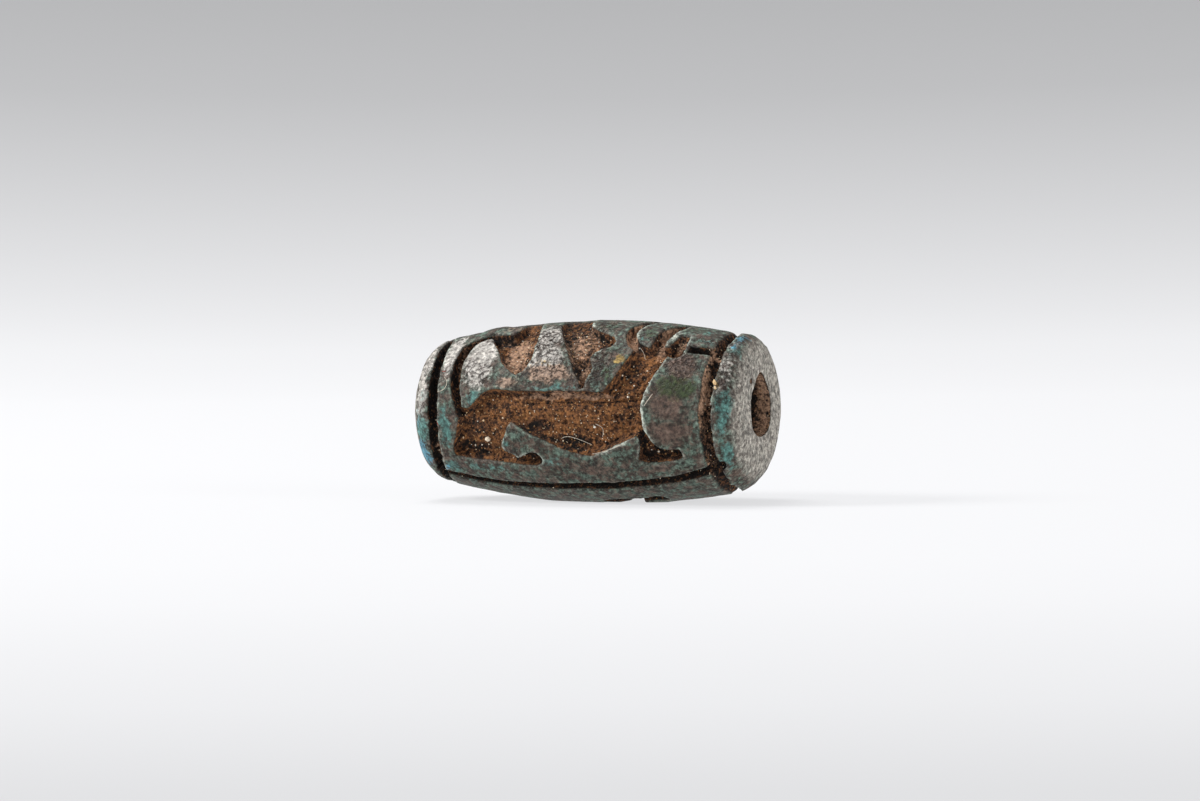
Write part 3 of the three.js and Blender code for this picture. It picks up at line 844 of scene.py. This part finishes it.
# Fibres caught on the carving: their points as u, s and height above the stone
lint = dict(
    pale=[
        [(-7.5, 2.45, 0.03), (-7.22, 2.2, 0.06), (-7.25, 1.7, 0.08), (-7.55, 1.45, 0.06), (-7.8, 1.5, 0.03)],
        [(-0.5, -1.42, 0.1), (-0.3, -1.3, 0.15), (0.1, -1.28, 0.2), (0.6, -1.45, 0.2), (1.2, -1.78, 0.1)],
        [(1.55, -0.5, 0.05), (1.85, -0.6, 0.1), (1.98, -0.9, 0.12), (1.85, -1.3, 0.05)],
        [(4.5, 0.6, 0.05), (4.65, 0.85, 0.1), (4.9, 1.25, 0.03)],
        [(1.3, -2.2, 0.05), (2.2, -1.95, 0.06), (3.1, -1.55, 0.05)],
        [(3.5, 4.5, 0.05), (3.8, 4.2, 0.12), (3.9, 3.8, 0.06)],
        [(5.3, 3.9, 0.05), (5, 3.6, 0.1), (4.8, 3.2, 0.05)],
    ],
    red=[
        [(-7.72, 2.9, 0.02), (-7.6, 2.86, 0.05), (-7.5, 2.9, 0.02)],
        [(-7.8, -0.5, 0.02), (-7.74, -0.62, 0.05), (-7.7, -0.75, 0.02)],
    ],
    halfWidth=0.014,
    paleColour=paint(214, 200, 182),
    redColour=paint(170, 62, 40),
)


# Where a line in from outside at u, s meets the stone
def onStone(stone, u, s, above=0):
    outward = Vector((0, -cos(s / girth), sin(s / girth)))
    met = stone.ray_cast(Vector((u, 0, 0)) + outward * girth * 1.3, -outward)[0]
    return met + outward * above


def strewSand(stone):
    generator = np.random.default_rng(sand["seed"])
    u = generator.uniform(-8, 8, sand["strewn"] * 6)
    angle = generator.uniform(-pi, pi, len(u))
    deep = np.nonzero(carve(u, angle)[0] > sand["deep"])[0][: sand["strewn"]]
    size = generator.uniform(sand["smallest"], sand["largest"], len(deep))
    tone = generator.uniform(0, 1, len(deep)) ** 2
    grains = [*sand["placed"], *zip(u[deep], angle[deep] * girth, size, tone)]
    heap = bmesh.new()
    tones = []
    for at, up, half, shade in grains:
        place = Matrix.Translation(onStone(stone, at, up, half * 0.4)) @ Matrix.Rotation(at * 9, 4, (1, 2, 3))
        stretch = Matrix.Diagonal((1.2, 0.75, 1, 1))
        made = bmesh.ops.create_icosphere(heap, subdivisions=1, radius=half, matrix=place @ stretch)
        tones += [shade] * len(made["verts"])
    mesh = bpy.data.meshes.new("sandGrains")
    heap.to_mesh(mesh)
    heap.free()
    writeAttribute(mesh, "tone", np.array(tones))
    return bpy.data.objects.new("sandGrains", mesh)


def layFibres(name, fibres, stone):
    curve = bpy.data.curves.new(name, "CURVE")
    curve.dimensions = "3D"
    curve.bevel_depth, curve.bevel_resolution, curve.resolution_u = lint["halfWidth"], 0, 4
    curve.use_fill_caps = True
    for fibre in fibres:
        spline = curve.splines.new("NURBS")
        spline.points.add(len(fibre) - 1)
        for point, (u, s, above) in zip(spline.points, fibre):
            point.co = (*onStone(stone, u, s, above), 1)
        spline.use_endpoint_u, spline.order_u = True, 3
    drawn = bpy.data.objects.new("drawn", curve)
    mesh = bpy.data.meshes.new_from_object(drawn)
    bpy.data.objects.remove(drawn)
    return bpy.data.objects.new(name, mesh)


def plainMaterial(name, colour, roughness):
    material, shader = newMaterial(name, roughness)[:2]
    shader.inputs["Base Color"].default_value = colour
    return material


def sandMaterial():
    material, shader, wire = newMaterial("sand", 0.45)
    tints = [(0.0, sand["amber"]), (0.5, sand["pale"]), (1.0, sand["white"])]
    connect(wire, shader.inputs["Base Color"], wire.ramp(wire.attribute("tone"), tints))
    return material


sealMesh = turnSeal()
print("seal turned:", len(sealMesh.vertices), "vertices")
sculptSeal(sealMesh)
ratio = seal["triangles"] / (2 * len(sealMesh.polygons))
sealMesh = applied(sealMesh, "DECIMATE", ratio=ratio, use_collapse_triangulate=True)
print("seal thinned:", len(sealMesh.polygons), "triangles")
writeFinish(sealMesh)
stone = BVHTree.FromPolygons([v.co for v in sealMesh.vertices], [p.vertices for p in sealMesh.polygons])
finishPiece(strewSand(stone), sandMaterial())
finishPiece(layFibres("lint", lint["pale"], stone), plainMaterial("lint", lint["paleColour"], 0.7))
finishPiece(layFibres("redFibres", lint["red"], stone), plainMaterial("redFibre", lint["redColour"], 0.7))
print("sand and lint laid")
sealPiece = bpy.data.objects.new("carvedSeal", sealMesh)
finishPiece(sealPiece, glazedStone())
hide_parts("seal")
print("seal finished")

# A sheet of paper that glows from below and curves up on all sides. Its glow is given along the line
# from in front of the bead to behind it.
studio = dict(
    flat=120,
    reach=1000,
    curve=1800,
    paper=paint(128, 128, 129),
    azimuth=22,
    glow=[
        (-400, 0.2), (-132, 0.5), (-107, 0.58), (-66, 0.65), (-44, 0.665), (124, 0.665),
        (181, 0.62), (215, 0.555), (283, 0.43), (339, 0.33), (385, 0.295), (700, 0.27),
    ],
    glowTint=(0.99, 0.993, 1.01),
    worldStrength=0.3,
    overheadPower=1.3,
    overheadSize=240,
    overheadPlace=(-120, 60, 420),
    leftPower=1.3,
    leftSize=150,
    leftPlace=(-300, -160, 230),
    rightPower=0.9,
    rightSize=220,
    rightPlace=(400, -110, 80),
)


def paperMaterial():
    material, shader, wire = newMaterial("paper", 0.9)
    shader.inputs["Base Color"].default_value = studio["paper"]
    shader.inputs["Specular IOR Level"].default_value = 0
    shader.inputs["Emission Strength"].default_value = 1
    turn = radians(studio["azimuth"])
    inputs = {0: wire.place(), 1: (-sin(turn), cos(turn), 0)}
    behind = wire.add("ShaderNodeVectorMath", dict(operation="DOT_PRODUCT"), inputs, "Value")
    first, last = studio["glow"][0][0], studio["glow"][-1][0]
    stops = []
    for distance, glow in studio["glow"]:
        tinted = [glow * channel for channel in studio["glowTint"]]
        stops.append(((distance - first) / (last - first), (*tinted, 1)))
    share = (behind - first) * (1 / (last - first))
    connect(wire, shader.inputs["Emission Color"], wire.ramp(share, stops))
    return material


def buildStage():
    sheet = bmesh.new()
    flat, reach = studio["flat"], studio["reach"]
    distances = [0, flat / 2, *np.linspace(flat, reach, 40)]
    line = [sheet.verts.new((t, 0, max(t - flat, 0) ** 2 / studio["curve"])) for t in distances]
    edges = [sheet.edges.new(pair) for pair in zip(line, line[1:])]
    bmesh.ops.spin(
        sheet, geom=line + edges, axis=(0, 0, 1), cent=(0, 0, 0),
        angle=2 * pi, steps=96, use_merge=True,
    )
    bmesh.ops.remove_doubles(sheet, verts=sheet.verts, dist=0.01)
    bmesh.ops.recalc_face_normals(sheet, faces=sheet.faces)
    if sum(face.normal.z for face in sheet.faces) < 0:
        bmesh.ops.reverse_faces(sheet, faces=sheet.faces)
    mesh = bpy.data.meshes.new("paperSheet")
    sheet.to_mesh(mesh)
    sheet.free()
    mesh.transform(Matrix.Scale(millimetre, 4))
    mesh.shade_smooth()
    mesh.materials.append(paperMaterial())
    floor = bpy.data.objects.new("paperSheet", mesh)
    bpy.context.scene.collection.objects.link(floor)


def addLight(name, power, size, place):
    lamp = bpy.data.lights.new(name, "AREA")
    lamp.energy, lamp.shape, lamp.size = power, "DISK", size * millimetre
    light = bpy.data.objects.new(name, lamp)
    light.location = Vector(place) * millimetre
    light.rotation_euler = (-Vector(place)).to_track_quat("-Z", "Y").to_euler()
    bpy.context.scene.collection.objects.link(light)


buildStage()
addLight("overhead", studio["overheadPower"], studio["overheadSize"], studio["overheadPlace"])
addLight("left", studio["leftPower"], studio["leftSize"], studio["leftPlace"])
addLight("right", studio["rightPower"], studio["rightSize"], studio["rightPlace"])
world = bpy.data.worlds.new("studio")
world.use_nodes = True
world.node_tree.nodes["Background"].inputs["Color"].default_value = (0.96, 0.98, 1, 1)
world.node_tree.nodes["Background"].inputs["Strength"].default_value = studio["worldStrength"]
bpy.context.scene.world = world
bpy.context.scene.view_settings.view_transform = "Standard"
print("studio built")

camera = dict(
    azimuth=22,
    elevation=2.5,
    roll=0.522,
    distance=280,
    aside=-0.048,       # the mark's place in the picture, right of and above the camera's aim
    above=-0.6076,
    lens=155.85,
)


def addCamera():
    data = bpy.data.cameras.new("camera")
    data.lens, data.sensor_width = camera["lens"], 36
    data.clip_start, data.clip_end = 0.01, 5
    turn = Matrix.Rotation(radians(camera["azimuth"]), 4, "Z")
    turn = turn @ Matrix.Rotation(radians(camera["roll"]), 4, "Y")
    turn = turn @ Matrix.Rotation(-radians(camera["elevation"]), 4, "X")
    eye = mark - turn @ Vector((camera["aside"], camera["distance"], camera["above"])) * millimetre
    viewer = bpy.data.objects.new("camera", data)
    viewer.matrix_world = Matrix.Translation(eye) @ turn @ Matrix.Rotation(pi / 2, 4, "X")
    bpy.context.scene.collection.objects.link(viewer)
    bpy.context.scene.camera = viewer


addCamera()
